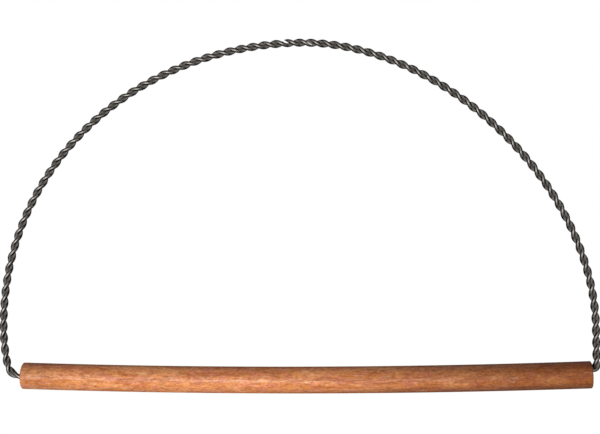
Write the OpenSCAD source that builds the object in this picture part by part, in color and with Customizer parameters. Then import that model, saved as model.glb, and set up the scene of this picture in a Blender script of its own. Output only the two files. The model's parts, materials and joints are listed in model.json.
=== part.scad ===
// Hanging bail of twisted wire with a wooden dowel turning on its two bent-in ends.
// Millimetres, X along the dowel, Z up, the bail in the XZ plane.
// The origin is the middle of the axis through the two end holes.

/* [Dowel] */
// Length of the dowel between the middles of its end faces
dowel_length = 203.2; // [150:0.1:260]
// Diameter of the dowel
dowel_d = 9.525; // [7.5:0.025:14]
// How far the middle of the dowel sags below its two ends
dowel_bow = 1.72; // [0.8:0.02:3]
// Width of the eased edge round each end face
dowel_edge = 0.5; // [0.2:0.05:1]
// Depth of the hole in each end face, to the foot of its straight wall
hole_depth = 9; // [8:0.25:14]
// Room all round between the twisted wire and the hole
hole_clearance = 0.4; // [0.3:0.05:0.8]
// How far the left hole is drilled above the middle of its end face
left_hole_offset = -0.2; // [-1.5:0.1:1.5]
// How far the right hole is drilled above the middle of its end face
right_hole_offset = 1.8; // [-1.5:0.1:1.9]
// Width of the countersink at the mouth of each hole
hole_countersink = 0.3; // [0.1:0.05:0.5]
// Included angle of the drilled point at the foot of each hole
drill_point_angle = 118; // [90:1:140]

/* [Wire] */
// Diameter of the wire
wire_d = 1.45; // [1:0.05:1.6]
// Gap left between the two strands of the twist
strand_gap = 0.05; // [0.03:0.01:0.12]
// Length of one whole turn of the twist on the left of the crown
twist_pitch_left = 8.48; // [7:0.02:11]
// Length of one whole turn of the twist on the right of the crown
twist_pitch_right = 8.38; // [7:0.02:11]
// Where a strand lies outermost near the crown, left of it when negative
twist_phase = -3.2; // [-8:0.1:8]
// Room between each folded end of the wire and the foot of its hole
tail_room = 0.2; // [0.1:0.05:1]
// Length at each folded end where the strands run straight
tail_straight = 1.6; // [0.8:0.1:3]

/* [Bail] */
// Height of the crown above the axis through the holes
bail_rise = 117.7; // [90:0.1:150]
// Shift of the crown along the dowel
crown_shift = 0.4; // [-6:0.1:6]
// Middle of the open joint where the two cut ends meet, left of the crown when negative
cut_place = -4.55; // [-12:0.05:12]
// Width of that open joint
cut_gap = 1.9; // [0.6:0.1:4]
// Slant of the two cut faces
cut_slant = 50; // [0:5:50]

/* [Left leg] */
// Gap between the foot of the left leg and the end face of the dowel
left_gap = 4.1; // [1:0.05:8]
// Height at which the left leg is widest
left_leg_height = 16.5; // [12:0.5:30]
// Lean of the left leg where it meets its bend
left_lean = 11.5; // [4:0.5:20]
// Radius inside the left bend into the dowel
left_bend_inner_r = 3.55; // [0.5:0.05:5]
// Fullness of the left shoulder towards the leg
left_leg_fullness = 0.57; // [0.45:0.01:0.65]
// Fullness of the left shoulder towards the crown
left_crown_fullness = 0.56; // [0.45:0.01:0.65]

/* [Right leg] */
// Gap between the foot of the right leg and the end face of the dowel
right_gap = 0.3; // [0.3:0.05:8]
// Height at which the right leg is widest
right_leg_height = 14.5; // [12:0.5:30]
// Lean of the right leg where it meets its bend
right_lean = 0.6; // [0.4:0.1:8]
// Radius inside the right bend into the dowel
right_bend_inner_r = 0.5; // [0.4:0.05:0.8]
// Fullness of the right shoulder towards the leg
right_leg_fullness = 0.5; // [0.45:0.01:0.65]
// Fullness of the right shoulder towards the crown
right_crown_fullness = 0.49; // [0.45:0.01:0.65]

/* [Hidden] */
// Facets round the wire, and rings along one turn of the twist, a bend and a fold
wire_sides = 7;
turn_rings = 8;
bend_rings = 6;
fold_rings = 5;
// Steps along each side's curve from the crown, and along each of its two arcs
curve_steps = 90;
arc_steps = 12;
// Radius from the middle of the twist to the middle of a strand, and to its outside
strand_r = (wire_d + strand_gap) / 2;
twist_r = strand_r + wire_d / 2;
hole_r = twist_r + hole_clearance;
half_length = dowel_length / 2;
// Length of wire in each hole up to the middle of its fold
tail_length = hole_depth - tail_room - twist_r;
// The bowed dowel is an arc of this radius
bow_r = (half_length * half_length + dowel_bow * dowel_bow) / (2 * dowel_bow);
bow_angle = asin(half_length / bow_r);
// The dowel is tilted and lowered so that both of its holes lie on the X axis
dowel_tilt = asin((right_hole_offset - left_hole_offset) / dowel_length);
dowel_drop = (right_hole_offset + left_hole_offset) / 2;
// A cone reaches from one end face past the other, and a cut runs this far past its face
cone_h = 1.2 * dowel_length;
cut_over = 1;

// Sub-part to draw

// A side of the bail is drawn in [outwards, up], from the crown to the end of its tail.
function crown_curve(t, u0, u1, z1, leg_full, crown_full) =
    let(a = [u0, bail_rise])
    let(b = a + [crown_full * (u1 - u0), 0])
    let(d = [u1, z1])
    let(c = d + [0, leg_full * (bail_rise - z1)])
    pow(1 - t, 3) * a + 3 * pow(1 - t, 2) * t * b + 3 * (1 - t) * t * t * c + pow(t, 3) * d;

function leg_r(height, lean, bend_r) = (height - bend_r * (1 - sin(lean))) / sin(lean);

function side_points(u0, gap, height, lean, bend_inner_r, leg_full, crown_full) =
    let(bend_r = bend_inner_r + twist_r)
    let(r = leg_r(height, lean, bend_r))
    let(foot = [half_length + gap + twist_r, height - r * sin(lean)])
    let(u1 = foot.x + r * (1 - cos(lean)))
    let(mid = foot + bend_r * [-cos(lean), sin(lean)])
    concat(
        [for (i = [0:curve_steps]) crown_curve(i / curve_steps, u0, u1, height, leg_full, crown_full)],
        [
            for (i = [1:arc_steps])
                let(a = lean * i / arc_steps)
                [u1 - r * (1 - cos(a)), height - r * sin(a)]
        ],
        [
            for (i = [1:arc_steps])
                let(a = lean + (90 - lean) * i / arc_steps)
                mid + bend_r * [cos(a), -sin(a)]
        ],
        [[half_length - tail_length, 0]]
    );

left_points = side_points(
    -crown_shift,
    left_gap,
    left_leg_height,
    left_lean,
    left_bend_inner_r,
    left_leg_fullness,
    left_crown_fullness
);
right_points = side_points(
    crown_shift,
    right_gap,
    right_leg_height,
    right_lean,
    right_bend_inner_r,
    right_leg_fullness,
    right_crown_fullness
);

// Distance along a side from the crown to each of its points
function run_lengths(p) = [
    for (i = 0, s = 0; i < len(p); i = i + 1, s = s + (i < len(p) ? norm(p[i] - p[i - 1]) : 0)) s
];
left_run = run_lengths(left_points);
right_run = run_lengths(right_points);
left_end = left_run[len(left_run) - 1];
right_end = right_run[len(right_run) - 1];
left_table_u = [for (i = [0:len(left_run) - 1]) [left_run[i], left_points[i].x]];
left_table_z = [for (i = [0:len(left_run) - 1]) [left_run[i], left_points[i].y]];
right_table_u = [for (i = [0:len(right_run) - 1]) [right_run[i], right_points[i].x]];
right_table_z = [for (i = [0:len(right_run) - 1]) [right_run[i], right_points[i].y]];

// Place on the middle of the bail at a distance from the crown, negative to the left
function bail_at(s) = s < 0
    ? [-lookup(-s, left_table_u), 0, lookup(-s, left_table_z)]
    : [lookup(s, right_table_u), 0, lookup(s, right_table_z)];

function unit(v) = v / norm(v);
// The wire's direction is taken between places this far to either side
step = 0.2;
function along_at(s) = unit(bail_at(min(s + step, right_end)) - bail_at(max(s - step, -left_end)));
// Direction in the bail's plane, square to the wire and away from the inside of the bail
function out_at(s) = let(t = along_at(s)) [-t.z, 0, t.x];

// Turn of the twist, stopped near the folded ends
function turn_at(s) =
    let(q = max(tail_straight - left_end, min(right_end - tail_straight, s)) - twist_phase)
    360 * q / (q < 0 ? twist_pitch_left : twist_pitch_right);
function strand_way(s, side) = side * (cos(turn_at(s)) * out_at(s) - sin(turn_at(s)) * [0, 1, 0]);
function strand_at(s, side) = bail_at(s) + strand_r * strand_way(s, side);

// Rings along one side: the arch, the bend and the tail
function side_stations(run, pitch) =
    let(b0 = run[curve_steps + arc_steps])
    let(b1 = run[curve_steps + 2 * arc_steps])
    let(b2 = run[len(run) - 1])
    let(n_arch = ceil(b0 * turn_rings / pitch))
    let(n_tail = ceil((b2 - b1) * turn_rings / pitch))
    concat(
        [for (i = [1:n_arch]) b0 * i / n_arch],
        [for (i = [1:bend_rings]) b0 + (b1 - b0) * i / bend_rings],
        [for (i = [1:n_tail]) b1 + (b2 - b1) * i / n_tail]
    );
left_stations = side_stations(left_run, twist_pitch_left);
right_stations = side_stations(right_run, twist_pitch_right);
stations = concat(
    [for (i = [len(left_stations) - 1:-1:0]) -left_stations[i]],
    [0],
    right_stations
);
cut_left = cut_place - cut_gap / 2;
cut_right = cut_place + cut_gap / 2;
last = len(stations) - 1;
// A ring too close to a cut end is left out
near = wire_d * tan(cut_slant) / 2 + twist_pitch_left / turn_rings / 3;

// Each ring is its middle and the way from the twist's middle to it
function strand_ring(s, side) = [strand_at(s, side), strand_way(s, side)];
function fold_ring(s, side, deep, a) =
    let(way = cos(a) * strand_way(s, side) + sin(a) * deep)
    [bail_at(s) + strand_r * way, way];

rings = concat(
    [strand_ring(cut_left, 1)],
    [for (i = [last:-1:0]) if (stations[i] < cut_left - near) strand_ring(stations[i], 1)],
    [for (i = [1:fold_rings - 1]) fold_ring(-left_end, 1, [1, 0, 0], 180 * i / fold_rings)],
    [for (i = [0:last]) strand_ring(stations[i], -1)],
    [for (i = [1:fold_rings - 1]) fold_ring(right_end, -1, [-1, 0, 0], 180 * i / fold_rings)],
    [for (i = [last:-1:0]) if (stations[i] > cut_right + near) strand_ring(stations[i], 1)],
    [strand_ring(cut_right, 1)]
);
ring_count = len(rings);

function ring_points(i) =
    let(t = unit(rings[min(i + 1, ring_count - 1)][0] - rings[max(i - 1, 0)][0]))
    let(e = unit(rings[i][1] - (rings[i][1] * t) * t))
    let(f = cross(t, e))
    let(slant = i == 0 || i == ring_count - 1 ? tan(cut_slant) : 0)
    [
        for (j = [0:wire_sides - 1])
            let(a = 180 + (j + 0.5) * 360 / wire_sides)
            rings[i][0] + wire_d / 2 * (cos(a) * (e + slant * t) + sin(a) * f)
    ];

function ring_faces(i) = [
    for (j = [0:wire_sides - 1])
        let(a = i * wire_sides + j)
        let(b = i * wire_sides + (j + 1) % wire_sides)
        let(c = b + wire_sides)
        let(d = a + wire_sides)
        each [[a, c, b], [a, d, c]]
];

module twisted_wire_bail() {
    color([0.13, 0.13, 0.14])
        polyhedron(
            points = [for (i = [0:ring_count - 1]) each ring_points(i)],
            faces = concat(
                [[for (j = [0:wire_sides - 1]) j]],
                [for (i = [0:ring_count - 2]) each ring_faces(i)],
                [[for (j = [wire_sides - 1:-1:0]) (ring_count - 1) * wire_sides + j]]
            ),
            convexity = 20
        );
}

// Straight round bar of the dowel, bent to an arc that sags in the middle
module bowed_bar() {
    translate([0, 0, bow_r - dowel_bow])
        rotate([90, 0, 0])
            rotate_extrude(angle = 2 * bow_angle, start = -90 - bow_angle, $fn = 1500)
                translate([bow_r, 0])
                    circle(d = dowel_d, $fn = 48);
}

// Cone square to one end face that eases its edge
module end_cone(side) {
    face_r = dowel_d / 2 - dowel_edge;
    translate([side * half_length, 0, 0])
        rotate([0, side * (90 - bow_angle), 0])
            translate([0, 0, -cone_h])
                cylinder(h = cone_h, r1 = face_r + cone_h, r2 = face_r, $fn = 96);
}

// Drilled hole lying on the axis that the dowel turns about
module end_hole(side) {
    point_h = hole_r / tan(drill_point_angle / 2);
    sink_h = hole_countersink + cut_over;
    translate([side * half_length, 0, 0])
        rotate([0, side * 90, 0]) {
            translate([0, 0, -hole_depth])
                cylinder(h = hole_depth + cut_over, r = hole_r, $fn = 48);
            translate([0, 0, -hole_depth - point_h])
                cylinder(h = point_h, r1 = 0, r2 = hole_r, $fn = 48);
            translate([0, 0, -hole_countersink])
                cylinder(h = sink_h, r1 = hole_r, r2 = hole_r + sink_h, $fn = 48);
        }
}

module dowel() {
    color([0.45, 0.22, 0.12])
        difference() {
            translate([0, 0, -dowel_drop])
                rotate([0, dowel_tilt, 0])
                    intersection() {
                        bowed_bar();
                        end_cone(-1);
                        end_cone(1);
                    }
            end_hole(-1);
            end_hole(1);
        }
}

twisted_wire_bail();
dowel();
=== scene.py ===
import json
import math
import bmesh
import bpy
import numpy as np
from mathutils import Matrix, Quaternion, Vector


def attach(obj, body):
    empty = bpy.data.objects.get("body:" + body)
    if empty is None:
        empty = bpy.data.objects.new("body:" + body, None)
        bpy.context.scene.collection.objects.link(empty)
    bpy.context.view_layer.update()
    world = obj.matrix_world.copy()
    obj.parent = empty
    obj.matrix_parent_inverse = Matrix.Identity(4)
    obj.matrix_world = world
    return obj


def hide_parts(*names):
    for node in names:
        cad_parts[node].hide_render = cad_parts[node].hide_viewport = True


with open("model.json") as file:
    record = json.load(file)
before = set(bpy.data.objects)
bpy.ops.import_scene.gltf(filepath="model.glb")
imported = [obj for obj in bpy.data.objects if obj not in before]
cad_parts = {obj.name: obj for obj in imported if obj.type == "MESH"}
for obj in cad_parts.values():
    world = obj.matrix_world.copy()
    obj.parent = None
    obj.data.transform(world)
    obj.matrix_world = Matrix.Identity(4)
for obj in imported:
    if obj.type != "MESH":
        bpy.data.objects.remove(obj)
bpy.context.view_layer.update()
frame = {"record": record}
mm = 0.001
tiny = 0.001 * mm
bar = next(mount["dims"] for mount in frame["record"]["mounts"] if mount["name"] == "dowel_bar")
rodLength = bar["length_mm"] * mm
rodRadius = bar["r_mm"] * mm


def selectOnly(piece):
    bpy.ops.object.select_all(action="DESELECT")
    piece.select_set(True)
    bpy.context.view_layer.objects.active = piece


def openMesh(piece, kind):
    selectOnly(piece)
    bpy.ops.object.mode_set(mode="EDIT")
    bpy.ops.mesh.select_mode(type=kind)
    bpy.ops.mesh.select_all(action="DESELECT")


def closeMesh():
    bpy.ops.object.mode_set(mode="OBJECT")


# select the faces or edges that pass a test, in edit mode
def pick(piece, parts, test):
    shape = bmesh.from_edit_mesh(piece.data)
    for part in getattr(shape, parts):
        part.select_set(bool(test(part)))
    bmesh.update_edit_mesh(piece.data)


# sockets take a value or the output of another node
def setInputs(tree, node, values):
    for name, value in values.items():
        if isinstance(value, bpy.types.NodeSocket):
            tree.links.new(value, node.inputs[name])
        else:
            node.inputs[name].default_value = value
    return node


def addNode(tree, kind, values, **options):
    node = tree.nodes.new("ShaderNode" + kind)
    for name, value in options.items():
        setattr(node, name, value)
    return setInputs(tree, node, values)


def newMaterial(name):
    material = bpy.data.materials.new(name)
    material.use_nodes = True
    tree = material.node_tree
    return material, tree, tree.nodes["Principled BSDF"]


def addMapping(tree, place, **values):
    return addNode(tree, "Mapping", {"Vector": place, **values}).outputs["Vector"]


def addNoise(tree, place, scale, detail=3.0, roughness=0.55, distortion=0.0):
    values = {"Vector": place, "Scale": scale, "Detail": detail}
    values.update({"Roughness": roughness, "Distortion": distortion})
    return addNode(tree, "TexNoise", values).outputs["Fac"]


def addRange(tree, value, low, high, toLow=0.0, toHigh=1.0):
    values = {"Value": value, "From Min": low, "From Max": high, "To Min": toLow, "To Max": toHigh}
    return addNode(tree, "MapRange", values, interpolation_type="SMOOTHSTEP").outputs["Result"]


def addMath(tree, operation, first, second):
    return addNode(tree, "Math", {0: first, 1: second}, operation=operation).outputs[0]


def mixColors(tree, share, first, second, blend="MIX"):
    node = addNode(tree, "Mix", {}, data_type="RGBA", blend_type=blend)
    setInputs(tree, node, {0: share, 6: first, 7: second})
    return node.outputs[2]


# a colour written in sRGB, made linear
def tone(*levels):
    shares = [level / 255 for level in levels]
    linear = [s / 12.92 if s <= 0.04045 else ((s + 0.055) / 1.055) ** 2.4 for s in shares]
    return (*linear, 1.0)


# dark annealed wire: dull oxide outside; a lighter grey in the groove between the strands, which is dust
# and painted light against the shade there; rubbed grey on the sides facing along Y, which is wear and a
# painted sheen
wireFinish = {
    # groove grey: dust, and painted light against the shade between the strands
    "groove": tone(118, 114, 108),
    "oxide": tone(28, 27, 27),
    # rubbed grey: wear, and a painted sheen where the highlights run along the ridges facing along Y
    "rubbedAndSheen": tone(118, 114, 109),
    "bare": tone(224, 222, 218),
    "edge": tone(10, 10, 10),   # the oxide's reflection at a grazing look
    "smoothest": 0.4,
    "roughest": 0.54,
    "grooveMetal": 0.3,
    "grooveEnds": (0.4, 0.8),   # share of the way out from the middle of the twist
    # distance from the bail's plane where one strand rides over the other
    "crossing": (0.7 * mm, 1.3 * mm),
    # the rubbed grey on sides facing along Y is wear and also a painted sheen
    "besideFacing": (0.46, 0.72),   # how squarely a rubbed side faces along Y, the strands side by side
    "overFacing": (0.84, 1.0),   # and where one rides over the other
    "besideEnds": (0.87, 0.64),   # share of the way out where the sides stay dark
    "ridgeEnds": (0.93, 1.0),   # and where their ridges are rubbed a little
    "ridgeShare": 0.18,
    "blotchScale": 420,
    "speckScale": 2600,
    "speckShare": 0.3,
    "drawScale": (40, 220, 1),   # along the wire and round it
    "drawDepth": 0.02 * mm,
    "cutRough": 0.4,
    "scrape": {
        "at": Vector((5.2, -0.8, 117.3)) * mm,
        "slope": math.radians(34),
        "reach": Vector((1.4, 1.4, 0.45)) * mm,
        "metal": 0.2,
    },
}


def sizeOfY(tree, vector):
    return addMath(tree, "ABSOLUTE", addNode(tree, "SeparateXYZ", {"Vector": vector}).outputs["Y"], 0.0)


# the bright scrape on one strand near the crown
def addScrape(tree, place):
    mark = wireFinish["scrape"]
    values = {"Location": mark["at"], "Rotation": (0, mark["slope"], 0), "Scale": mark["reach"]}
    spot = addNode(tree, "Mapping", {"Vector": place, **values}, vector_type="TEXTURE").outputs["Vector"]
    near = addNode(tree, "TexGradient", {"Vector": spot}, gradient_type="SPHERICAL").outputs["Fac"]
    return addRange(tree, near, 0.0, 0.45)


def makeWireMaterial():
    finish = wireFinish
    material, tree, shader = newMaterial("annealedWire")
    coordinates = addNode(tree, "TexCoord", {}).outputs
    place = coordinates["Object"]
    along = addNode(tree, "UVMap", {}, uv_map="UVMap").outputs["UV"]
    outward = addNode(tree, "Attribute", {}, attribute_name="outward").outputs["Fac"]
    blotch = addNoise(tree, place, finish["blotchScale"], detail=4)
    speck = addNoise(tree, place, finish["speckScale"], detail=2)
    drawLines = addNoise(tree, addMapping(tree, along, Scale=finish["drawScale"]), 1.0, detail=2)
    over = addRange(tree, sizeOfY(tree, place), *finish["crossing"])
    facing = zip(finish["besideFacing"], finish["overFacing"])
    low, high = [addRange(tree, over, 0.0, 1.0, *pair) for pair in facing]
    # rubbed grey on the sides facing along Y: wear, and a painted sheen along the ridges where the
    # highlights run
    wearAndPaintedSheen = addRange(tree, sizeOfY(tree, coordinates["Normal"]), low, high)
    inside = addRange(tree, outward, *finish["besideEnds"])
    wearAndPaintedSheen = addMath(tree, "MULTIPLY", wearAndPaintedSheen, addMath(tree, "MAXIMUM", inside, over))
    ridge = addRange(tree, outward, *finish["ridgeEnds"], 0.0, finish["ridgeShare"])
    wearAndPaintedSheen = addMath(tree, "MAXIMUM", wearAndPaintedSheen, ridge)
    wearAndPaintedSheen = addMath(tree, "MULTIPLY", wearAndPaintedSheen, addRange(tree, blotch, 0.3, 0.6, 0.6, 1.0))
    scrape = addScrape(tree, place)
    out = addRange(tree, outward, *finish["grooveEnds"])
    # the groove colour, lighter than the oxide: dust, and painted light where the strands shade each other
    color = mixColors(tree, out, finish["groove"], finish["oxide"])
    color = mixColors(tree, wearAndPaintedSheen, color, finish["rubbedAndSheen"])
    specks = addRange(tree, speck, 0.45, 0.7, 0.0, finish["speckShare"])
    color = mixColors(tree, specks, color, finish["oxide"])
    color = mixColors(tree, scrape, color, finish["bare"])
    uneven = addMath(tree, "MULTIPLY", blotch, drawLines)
    rough = addRange(tree, uneven, 0.15, 0.4, finish["smoothest"], finish["roughest"])
    bump = addNode(tree, "Bump", {"Height": drawLines, "Strength": 0.2, "Distance": finish["drawDepth"]})
    metal = addRange(tree, out, 0.0, 1.0, finish["grooveMetal"], 1.0)
    scrapeMetal = addRange(tree, scrape, 0.0, 1.0, 1.0, finish["scrape"]["metal"])
    metal = addMath(tree, "MINIMUM", metal, scrapeMetal)
    setInputs(tree, shader, {"Base Color": color, "Roughness": rough, "Normal": bump.outputs["Normal"]})
    setInputs(tree, shader, {"Metallic": metal, "Specular IOR Level": 0.0, "Specular Tint": finish["edge"]})
    return material


def makeBareSteel():
    finish = wireFinish
    material, tree, shader = newMaterial("bareSteelCut")
    place = addNode(tree, "TexCoord", {}).outputs["Object"]
    scratches = addNoise(tree, addMapping(tree, place, Scale=(6000, 900, 6000)), 1.0)
    color = mixColors(tree, addRange(tree, scratches, 0.3, 0.7), finish["bare"], finish["rubbedAndSheen"])
    setInputs(tree, shader, {"Base Color": color, "Metallic": 1.0, "Roughness": finish["cutRough"]})
    return material


# twisted wire bail: one wire doubled on itself, its two cut ends meeting near the crown
bail = {
    "rise": 117.7 * mm,
    "crownShift": 0.4 * mm,
    "wireRadius": 0.725 * mm,
    "strandRadius": 0.725 * mm,   # the strands touch
    "twistRadius": 1.475 * mm,
    "pitch": {-1: 8.48 * mm, 1: 8.38 * mm},   # left and right of the crown
    "phase": -3.2 * mm,
    "tailLength": 7.325 * mm,
    "tailStraight": 1.6 * mm,
    "slackReach": 12.3 * mm,   # the twist slackens in the left tail, from here to its end
    "slackShare": 0.76,
    "cutPlace": -4.55 * mm,
    "cutGap": 1.9 * mm,
    "cutSlant": 50,
    "cutSpare": 1.5 * mm,   # what each cut trims off
    "cutRings": 14,   # rings at each end that the cut may reach
    "curveSteps": 400,
    "arcSteps": 40,
    "turnRings": 28,
    "foldRings": 10,
    "sides": 20,
    "smoothAngle": 40,
}
leftLeg = {
    "gap": 4.1 * mm,
    "height": 16.5 * mm,
    "lean": 11.5,
    "bend": 3.55 * mm,
    "legFull": 0.57,
    "crownFull": 0.56,
}
rightLeg = {
    "gap": 0.3 * mm,
    "height": 14.5 * mm,
    "lean": 0.6,
    "bend": 0.5 * mm,
    "legFull": 0.5,
    "crownFull": 0.49,
}


# one side of the bail as (outwards, up), from the crown to the end of its tail
def sidePath(leg, crownX):
    lean = math.radians(leg["lean"])
    bendRadius = leg["bend"] + bail["twistRadius"]
    legRadius = (leg["height"] - bendRadius * (1 - math.sin(lean))) / math.sin(lean)
    footX = rodLength / 2 + leg["gap"] + bail["twistRadius"]
    foot = Vector((footX, leg["height"] - legRadius * math.sin(lean)))
    widest = Vector((footX + legRadius * (1 - math.cos(lean)), leg["height"]))
    crown = Vector((crownX, bail["rise"]))
    nearCrown = crown + Vector((leg["crownFull"] * (widest.x - crown.x), 0))
    nearLeg = widest + Vector((0, leg["legFull"] * (crown.y - widest.y)))
    points = []
    for t in np.linspace(0, 1, bail["curveSteps"]).tolist():
        r = 1 - t
        upper = r ** 3 * crown + 3 * r * r * t * nearCrown
        points.append(upper + 3 * r * t * t * nearLeg + t ** 3 * widest)
    for a in np.linspace(0, lean, bail["arcSteps"]).tolist()[1:]:
        points.append(widest - legRadius * Vector((1 - math.cos(a), math.sin(a))))
    bendMiddle = foot + bendRadius * Vector((-math.cos(lean), math.sin(lean)))
    for a in np.linspace(lean, math.pi / 2, bail["arcSteps"]).tolist()[1:]:
        points.append(bendMiddle + bendRadius * Vector((math.cos(a), -math.sin(a))))
    points.append(Vector((rodLength / 2 - bail["tailLength"], 0)))
    return points


# the middle line from the left tail to the right one: distance from the crown, x, z
def bailTable():
    rows = []
    for side, leg in ((-1, leftLeg), (1, rightLeg)):
        path = sidePath(leg, side * bail["crownShift"])
        steps = [0.0] + [(b - a).length for a, b in zip(path, path[1:])]
        rows += [(side * run, side * point.x, point.y) for run, point in zip(np.cumsum(steps), path)]
    return np.array(sorted(rows))


line = bailTable()
lineStart, lineEnd = line[0, 0], line[-1, 0]
cutLeft = bail["cutPlace"] - bail["cutGap"] / 2
cutRight = bail["cutPlace"] + bail["cutGap"] / 2


def bailAt(s):
    return Vector((np.interp(s, line[:, 0], line[:, 1]), 0, np.interp(s, line[:, 0], line[:, 2])))


# direction from the middle of the twist to a strand, which is 1 or -1
def strandWay(s, strand):
    step = 0.2 * mm
    along = (bailAt(min(s + step, lineEnd)) - bailAt(max(s - step, lineStart))).normalized()
    outwards = Vector((-along.z, 0, along.x))
    stop = bail["tailStraight"]
    q = max(lineStart + stop, min(lineEnd - stop, s))
    slack = lineStart + bail["slackReach"]
    q = max(q, slack + (q - slack) * bail["slackShare"]) - bail["phase"]
    turn = 2 * math.pi * q / bail["pitch"][-1 if q < 0 else 1]
    return strand * (math.cos(turn) * outwards - math.sin(turn) * Vector((0, 1, 0)))


def strandAt(s, strand):
    return bailAt(s) + bail["strandRadius"] * strandWay(s, strand)


def stations(first, last):
    ring = bail["pitch"][1] / bail["turnRings"]
    return np.linspace(first, last, math.ceil(abs(last - first) / ring) + 1).tolist()


# the half turn at the end of a tail, where the wire comes back as the other strand
def foldWays(s, strand, deep):
    angles = np.linspace(0, math.pi, bail["foldRings"]).tolist()[1:-1]
    return [(s, math.cos(a) * strandWay(s, strand) + math.sin(a) * Vector((deep, 0, 0))) for a in angles]


# the wire's own route: cut end, left fold, right fold, cut end, a little long at both cuts
def wireRoute():
    spare = bail["cutSpare"]
    route = [(s, strandWay(s, 1)) for s in stations(cutLeft + spare, lineStart)]
    route += foldWays(lineStart, 1, 1)
    route += [(s, strandWay(s, -1)) for s in stations(lineStart, lineEnd)]
    route += foldWays(lineEnd, -1, -1)
    route += [(s, strandWay(s, 1)) for s in stations(lineEnd, cutRight - spare)]
    return route


# how far each point lies from the middle of the twist: 0 where the strands touch, 1 outside
def markOutward(wire, route):
    far = bail["strandRadius"] + bail["wireRadius"]
    outward = wire.data.attributes.new("outward", "FLOAT", "POINT")
    for vertex in wire.data.vertices:
        middle = bailAt(route[vertex.index // bail["sides"]][0])
        outward.data[vertex.index].value = (vertex.co - middle).length / far


# both cut faces slant the same way, and the right end finishes in a tip above the gap
def trimCut(wire, cut, group, keepAhead):
    step = 0.1 * mm
    travel = (strandAt(cut - step, 1) - strandAt(cut + step, 1)).normalized()
    way = strandWay(cut, 1)
    square = (way - way.dot(travel) * travel).normalized()
    normal = (travel - math.tan(math.radians(bail["cutSlant"])) * square).normalized()
    middle = strandAt(cut, 1)
    openMesh(wire, "VERT")
    wire.vertex_groups.active = group
    bpy.ops.object.vertex_group_select()
    bpy.ops.mesh.bisect(
        plane_co=middle, plane_no=normal, use_fill=True, threshold=tiny,
        clear_inner=keepAhead, clear_outer=not keepAhead,
    )
    bpy.ops.mesh.select_mode(type="FACE")
    pick(wire, "faces", lambda face: len(face.verts) >= bail["sides"])
    wire.active_material_index = 1
    bpy.ops.object.material_slot_assign()
    closeMesh()


def makeWire():
    route = wireRoute()
    bpy.ops.object.select_all(action="DESELECT")
    bpy.ops.curve.primitive_bezier_curve_add()
    wire = bpy.context.object
    curve = wire.data
    curve.splines.clear()
    curve.dimensions = "3D"
    strand = curve.splines.new("POLY")
    strand.points.add(len(route) - 1)
    for point, (s, way) in zip(strand.points, route):
        point.co = (*(bailAt(s) + bail["strandRadius"] * way), 1)
    curve.bevel_depth = bail["wireRadius"]
    curve.bevel_resolution = bail["sides"] // 2 - 2
    selectOnly(wire)
    bpy.ops.object.convert(target="MESH")
    wire = bpy.context.object
    wire.name = "twistedWire"
    wire.data.materials.clear()
    wire.data.materials.append(makeWireMaterial())
    wire.data.materials.append(makeBareSteel())
    markOutward(wire, route)
    endCount = bail["cutRings"] * bail["sides"]
    pointCount = len(wire.data.vertices)
    leftGroup = wire.vertex_groups.new(name="leftCut")
    leftGroup.add(range(endCount), 1, "REPLACE")
    rightGroup = wire.vertex_groups.new(name="rightCut")
    rightGroup.add(range(pointCount - endCount, pointCount), 1, "REPLACE")
    trimCut(wire, cutLeft, leftGroup, True)
    trimCut(wire, cutRight, rightGroup, False)
    wire.vertex_groups.clear()
    openMesh(wire, "FACE")
    bpy.ops.mesh.select_all(action="SELECT")
    bpy.ops.mesh.normals_make_consistent(inside=False)
    closeMesh()
    bpy.ops.object.shade_smooth_by_angle(angle=math.radians(bail["smoothAngle"]))
    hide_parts("twisted_wire_bail")
    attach(wire, "bail")
    print("wire:", len(route), "rings,", len(wire.data.polygons), "faces")


makeWire()

# stained wood: mottled along the grain
woodStain = {
    "dark": tone(178, 100, 55),
    "golden": tone(228, 144, 78),
    "rosy": tone(228, 140, 104),
    "light": tone(248, 170, 110),
    "fleck": tone(254, 206, 156),
    "pore": tone(130, 70, 38),
    "shine": 0.2,
    "smoothest": 0.22,
    "roughest": 0.56,
    "rightDull": 0.62,
    "topDull": 0.85,   # along the top and the underside
    "poreShare": 0.4,
    "poreDepth": 0.6,
    "grainDepth": 0.06 * mm,
    "endRough": 0.7,
    "endDepth": 0.08 * mm,
}
# lengths along the grain and across it
grainSize = {
    "blotch": (22 * mm, 6 * mm),
    "hue": (4 * mm, 1.8 * mm),
    "fibres": (8 * mm, 1 * mm),
    "flecks": (4 * mm, 0.9 * mm),
    "mottle": (2.4 * mm, 1.2 * mm),
    "grit": (1.1 * mm, 0.6 * mm),
    "pores": (4 * mm, 0.22 * mm),
}
# what the colour keeps where it is darkened: towards the left end; towards the right end, stain and painted
# shade of the light falling off; on top, more at the top right, painted shade; underneath, more towards the
# right, painted shade
stainAndPaintedShade = {
    "leftEnd": (0.78, 0.79, 0.82, 1.0),
    # right half: stain, and painted shade of the light falling off to the right
    "rightStainAndShade": (0.44, 0.365, 0.275, 1.0),
    # top and top right: painted shade, darker on the upward faces and more so at the right
    "top": (0.72, 0.71, 0.74, 1.0),
    "topRightPaintedShade": (0.7, 0.66, 0.7, 1.0),
    # underside: painted shade on the downward faces, more towards the right
    "underside": (0.46, 0.4, 0.33, 1.0),
    "leftReach": 26 * mm,
}


def addGrain(tree, place, lengthwise, across, detail=3.0, roughness=0.55, distortion=0.4):
    scale = (1 / lengthwise, 1 / across, 1 / across)
    return addNoise(tree, addMapping(tree, place, Scale=scale), 1.0, detail, roughness, distortion)


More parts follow.
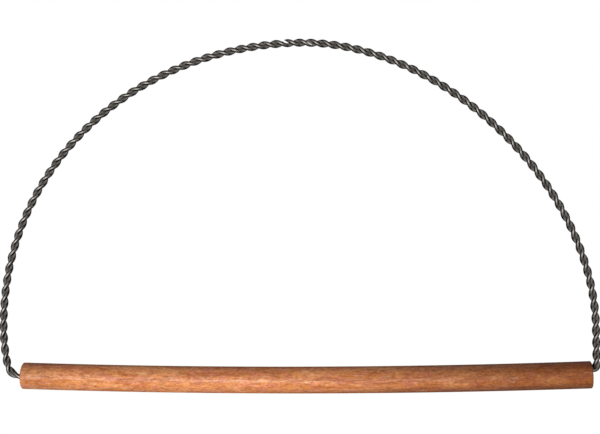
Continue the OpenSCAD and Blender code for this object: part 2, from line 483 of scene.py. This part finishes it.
# darkens the colour towards the left end, towards the right with stain and painted shade, and on top and
# underneath with painted shade
def darkenByStainAndPaintedShade(tree, color, acrossX, upward):
    half = rodLength / 2
    # towards the right end: stain and painted shade
    rightStainAndShade = addRange(tree, acrossX, -0.1 * half, half)
    leftEnd = addRange(tree, acrossX, stainAndPaintedShade["leftReach"] - half, -half)
    # painted shade on the upward faces
    above = addRange(tree, upward, -0.35, 0.85)
    # painted shade on the downward faces
    below = addRange(tree, upward, -0.35, -0.95)
    rightward = addRange(tree, acrossX, -half / 4, half / 2, 0.25, 1.0)
    shares = {
        "leftEnd": leftEnd,
        "rightStainAndShade": rightStainAndShade,
        # painted shade on top, at the top right and underneath
        "top": above,
        "topRightPaintedShade": addMath(tree, "MULTIPLY", addRange(tree, upward, 0.2, 0.95), rightStainAndShade),
        "underside": addMath(tree, "MULTIPLY", below, rightward),
    }
    for name, share in shares.items():
        color = mixColors(tree, share, color, stainAndPaintedShade[name], "MULTIPLY")
    return color


def makeWoodMaterial():
    stain = woodStain
    material, tree, shader = newMaterial("stainedRod")
    coordinates = addNode(tree, "TexCoord", {}).outputs
    place = coordinates["Object"]
    acrossX = addNode(tree, "SeparateXYZ", {"Vector": place}).outputs["X"]
    upward = addNode(tree, "SeparateXYZ", {"Vector": coordinates["Normal"]}).outputs["Z"]
    blotch = addGrain(tree, place, *grainSize["blotch"], roughness=0.6)
    hue = addGrain(tree, place, *grainSize["hue"], roughness=0.6)
    fibres = addGrain(tree, place, *grainSize["fibres"], 5, 0.65)
    flecks = addGrain(tree, place, *grainSize["flecks"], 3, 0.6, 0.6)
    mottle = addGrain(tree, place, *grainSize["mottle"], 4, 0.65)
    grit = addGrain(tree, place, *grainSize["grit"], 2, 0.5)
    pores = addRange(tree, addGrain(tree, place, *grainSize["pores"], 2, 0.5, 0.2), 0.56, 0.7)
    base = mixColors(tree, addRange(tree, hue, 0.42, 0.62), stain["golden"], stain["rosy"])
    color = mixColors(tree, addRange(tree, fibres, 0.28, 0.6), stain["dark"], base)
    color = mixColors(tree, addRange(tree, blotch, 0.42, 0.66, 0.0, 0.8), color, stain["light"])
    color = mixColors(tree, addRange(tree, flecks, 0.54, 0.74, 0.0, 0.6), color, stain["fleck"])
    color = mixColors(tree, addRange(tree, mottle, 0.54, 0.3, 0.0, 0.8), color, stain["dark"])
    color = mixColors(tree, 1.0, color, addRange(tree, grit, 0.3, 0.7, 0.78, 1.12), "MULTIPLY")
    color = mixColors(tree, addMath(tree, "MULTIPLY", pores, stain["poreShare"]), color, stain["pore"])
    # stain and painted shade darken the colour
    color = darkenByStainAndPaintedShade(tree, color, acrossX, upward)
    rough = addRange(tree, fibres, 0.3, 0.7, stain["roughest"], stain["smoothest"])
    rightDull = addRange(tree, acrossX, 0.0, rodLength / 2, 0.0, stain["rightDull"])
    level = addMath(tree, "ABSOLUTE", addMath(tree, "SUBTRACT", upward, 0.06), 0.0)
    topDull = addRange(tree, level, 0.72, 0.94, 0.0, stain["topDull"])
    rough = addMath(tree, "MAXIMUM", rough, addMath(tree, "MAXIMUM", rightDull, topDull))
    grain = addMath(tree, "ADD", fibres, addRange(tree, mottle, 0.3, 0.7))
    grain = addMath(tree, "SUBTRACT", grain, addMath(tree, "MULTIPLY", pores, stain["poreDepth"]))
    bump = addNode(tree, "Bump", {"Height": grain, "Strength": 0.55, "Distance": stain["grainDepth"]})
    values = {"Base Color": color, "Roughness": rough, "Specular IOR Level": stain["shine"]}
    setInputs(tree, shader, {**values, "Normal": bump.outputs["Normal"]})
    return material


def makeEndGrain():
    stain = woodStain
    material, tree, shader = newMaterial("endGrain")
    place = addNode(tree, "TexCoord", {}).outputs["Object"]
    ringPlace = addMapping(tree, place, Rotation=(0.6, 0, 0), Scale=(30, 1000, 1000))
    ringValues = {"Vector": ringPlace, "Scale": 0.13, "Distortion": 2.5, "Detail": 2.0, "Detail Scale": 0.4}
    rings = addNode(tree, "TexWave", ringValues, bands_direction="Z").outputs["Fac"]
    dots = addNoise(tree, addMapping(tree, place, Scale=(300, 1000, 1000)), 5.0, 2)
    color = mixColors(tree, rings, stain["pore"], stain["dark"])
    color = mixColors(tree, addRange(tree, dots, 0.45, 0.7), color, stain["golden"])
    bump = addNode(tree, "Bump", {"Height": dots, "Strength": 0.4, "Distance": stain["endDepth"]})
    values = {"Base Color": color, "Roughness": stain["endRough"]}
    setInputs(tree, shader, {**values, "Normal": bump.outputs["Normal"]})
    return material


# bowed rod with eased rims, and a drilled hole in each end on the axis through the origin
rod = {
    "bow": 1.72 * mm,
    "rim": 0.5 * mm,
    "rimSegments": 5,
    "leftHoleAbove": -0.2 * mm,   # above the middle of the end face
    "rightHoleAbove": 1.8 * mm,
    "holeRadius": 1.875 * mm,
    "holeDepth": 9 * mm,
    "countersink": 0.3 * mm,
    "pointAngle": 118,
    "pointShare": 0.02,   # what the drill's point leaves of its width
    "drillOver": 1 * mm,   # how far the drill stands out of the end face
    "drillSides": 48,
    "sides": 80,
    "steps": 150,
    "smoothAngle": 35,
    "endFacing": 0.95,
}


def extrudeAndScale(drop, scale, depth):
    bpy.ops.mesh.extrude_region_move(TRANSFORM_OT_translate={"value": (0, 0, -drop)})
    bpy.ops.transform.resize(value=(scale, scale, 1), center_override=(0, 0, depth - drop))
    return depth - drop


# the drill's shape, pointing down from above the end face
def makeDrill(side):
    over = rod["drillOver"]
    wide = rod["holeRadius"] + rod["countersink"] + over
    bpy.ops.object.select_all(action="DESELECT")
    bpy.ops.mesh.primitive_circle_add(
        vertices=rod["drillSides"], radius=wide, fill_type="NGON", location=(0, 0, 0)
    )
    drill = bpy.context.object
    bpy.ops.object.mode_set(mode="EDIT")
    bpy.ops.mesh.select_all(action="SELECT")
    bpy.ops.transform.translate(value=(0, 0, over))
    depth = extrudeAndScale(over + rod["countersink"], rod["holeRadius"] / wide, over)
    depth = extrudeAndScale(rod["holeDepth"] - rod["countersink"], 1, depth)
    point = rod["holeRadius"] / math.tan(math.radians(rod["pointAngle"] / 2))
    extrudeAndScale(point, rod["pointShare"], depth)
    bpy.ops.mesh.select_all(action="SELECT")
    bpy.ops.mesh.normals_make_consistent(inside=False)
    closeMesh()
    drill.location = (side * rodLength / 2, 0, 0)
    drill.rotation_euler = (0, side * math.pi / 2, 0)
    return drill


def makeRod():
    half = rodLength / 2
    bowRadius = (half ** 2 + rod["bow"] ** 2) / (2 * rod["bow"])
    bowAngle = math.asin(half / bowRadius)
    bpy.ops.object.select_all(action="DESELECT")
    bpy.ops.mesh.primitive_circle_add(
        vertices=rod["sides"], radius=rodRadius,
        location=(-half, 0, 0), rotation=(0, math.pi / 2 + bowAngle, 0),
    )
    wood = bpy.context.object
    wood.name = "woodenRod"
    bpy.ops.object.transform_apply(location=True, rotation=True, scale=True)
    openMesh(wood, "EDGE")
    bpy.ops.mesh.select_all(action="SELECT")
    bpy.ops.mesh.spin(
        steps=rod["steps"], angle=2 * bowAngle, center=(0, 0, bowRadius - rod["bow"]), axis=(0, 1, 0)
    )
    bpy.ops.mesh.select_all(action="SELECT")
    bpy.ops.mesh.remove_doubles(threshold=tiny)
    pick(wood, "edges", lambda edge: edge.is_boundary)
    bpy.ops.mesh.edge_face_add()
    bpy.ops.mesh.select_all(action="SELECT")
    bpy.ops.mesh.normals_make_consistent(inside=False)
    bpy.ops.mesh.select_mode(type="EDGE")
    pick(wood, "edges", lambda edge: any(len(face.verts) > 4 for face in edge.link_faces))
    bpy.ops.mesh.bevel(offset=rod["rim"], segments=rod["rimSegments"], profile=0.5, affect="EDGES")
    closeMesh()
    rise = rod["rightHoleAbove"] - rod["leftHoleAbove"]
    wood.rotation_euler = (0, math.asin(rise / rodLength), 0)
    wood.location = (0, 0, -(rod["rightHoleAbove"] + rod["leftHoleAbove"]) / 2)
    selectOnly(wood)
    bpy.ops.object.transform_apply(location=True, rotation=True, scale=True)
    for side in (-1, 1):
        drill = makeDrill(side)
        hole = wood.modifiers.new("hole", "BOOLEAN")
        hole.operation = "DIFFERENCE"
        hole.object = drill
        selectOnly(wood)
        bpy.ops.object.modifier_apply(modifier=hole.name)
        bpy.data.objects.remove(drill)
    wood.data.materials.append(makeWoodMaterial())
    wood.data.materials.append(makeEndGrain())
    openMesh(wood, "FACE")
    pick(wood, "faces", isEndFace)
    wood.active_material_index = 1
    bpy.ops.object.material_slot_assign()
    closeMesh()
    bpy.ops.object.shade_smooth_by_angle(angle=math.radians(rod["smoothAngle"]))
    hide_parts("dowel")
    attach(wood, "dowel")
    print("rod:", len(wood.data.polygons), "faces")


# end faces look along the rod, and hole walls lie close to its axis
def isEndFace(face):
    center = face.calc_center_median()
    inHole = math.hypot(center.y, center.z) < rod["holeRadius"] + rod["countersink"]
    nearEnd = abs(center.x) > rodLength / 2 - rod["holeDepth"] - 2 * rod["holeRadius"]
    return abs(face.normal.x) > rod["endFacing"] or (inHole and nearEnd)


makeRod()

# plain pale floor well below the hanging part, white to the camera but still taking a shadow
studio = {
    "floorZ": -0.45,
    "floorSize": 12.0,
    "floorColor": (0.6, 0.6, 0.6, 1.0),
    "floorRough": 0.9,
    "floorGlow": 0.95,
    "ambient": 0.1,
    "lamps": [
        {"name": "keyLight", "at": (-0.14, -0.62, -0.02), "size": (0.3, 0.15), "power": 4.3},
        {"name": "backLight", "at": (0.2, 0.85, -0.02), "size": (0.6, 0.6), "power": 6.0},
    ],
    "aim": (0, 0, 0.04),
}


# 1 for what the camera, a gloss or a clear surface sees, 0 for the light that falls on things
def seenDirectly(tree):
    path = addNode(tree, "LightPath", {})
    seen = addMath(tree, "MAXIMUM", path.outputs["Is Camera Ray"], path.outputs["Is Glossy Ray"])
    return addMath(tree, "MAXIMUM", seen, path.outputs["Is Transmission Ray"])


def makeFloor():
    bpy.ops.object.select_all(action="DESELECT")
    bpy.ops.mesh.primitive_plane_add(size=studio["floorSize"], location=(0, 0, studio["floorZ"]))
    floor = bpy.context.object
    floor.name = "paleFloor"
    material, tree, shader = newMaterial("paleFloor")
    values = {"Base Color": studio["floorColor"], "Roughness": studio["floorRough"]}
    setInputs(tree, shader, {**values, "Specular IOR Level": 0.0})
    glow = addMath(tree, "MULTIPLY", seenDirectly(tree), studio["floorGlow"])
    setInputs(tree, shader, {"Emission Color": (1, 1, 1, 1), "Emission Strength": glow})
    floor.data.materials.append(material)


def makeWorld():
    world = bpy.data.worlds.new("studioWorld")
    world.use_nodes = True
    tree = world.node_tree
    tree.nodes.clear()
    light = addNode(tree, "Background", {"Color": (1, 1, 1, 1), "Strength": studio["ambient"]})
    white = addNode(tree, "Background", {"Color": (1, 1, 1, 1), "Strength": 1.0})
    values = {0: seenDirectly(tree), 1: light.outputs[0], 2: white.outputs[0]}
    mixed = addNode(tree, "MixShader", values)
    addNode(tree, "OutputWorld", {"Surface": mixed.outputs[0]})
    bpy.context.scene.world = world


def makeLamps():
    for lamp in studio["lamps"]:
        bpy.ops.object.light_add(type="AREA", location=lamp["at"])
        light = bpy.context.object
        light.name = lamp["name"]
        light.data.energy = lamp["power"]
        light.data.shape = "RECTANGLE"
        light.data.size, light.data.size_y = lamp["size"]
        away = Vector(lamp["at"]) - Vector(studio["aim"])
        light.rotation_euler = away.to_track_quat("Z", "Y").to_euler()


# the photographed view: nearly level, a little from the right, the frame slightly turned
view = {
    "target": Vector((0.43, 0, 55.58)) * mm,
    "distance": 440 * mm,
    "azimuth": 4.5,
    "elevation": -0.045,
    "roll": -1.243,
    "lens": 74.07,
    "nearest": 10 * mm,
}


def makeCamera():
    a, e = math.radians(view["azimuth"]), math.radians(view["elevation"])
    back = Vector((math.sin(a) * math.cos(e), -math.cos(a) * math.cos(e), math.sin(e)))
    bpy.ops.object.camera_add(location=view["target"] + view["distance"] * back)
    camera = bpy.context.object
    camera.name = "photoCamera"
    turn = back.to_track_quat("Z", "Y") @ Quaternion((0, 0, 1), math.radians(view["roll"]))
    camera.rotation_euler = turn.to_euler()
    camera.data.lens = view["lens"]
    camera.data.clip_start = view["nearest"]
    bpy.context.scene.camera = camera


makeFloor()
makeWorld()
makeLamps()
makeCamera()
bpy.context.scene.view_settings.view_transform = "Standard"
print("studio ready")
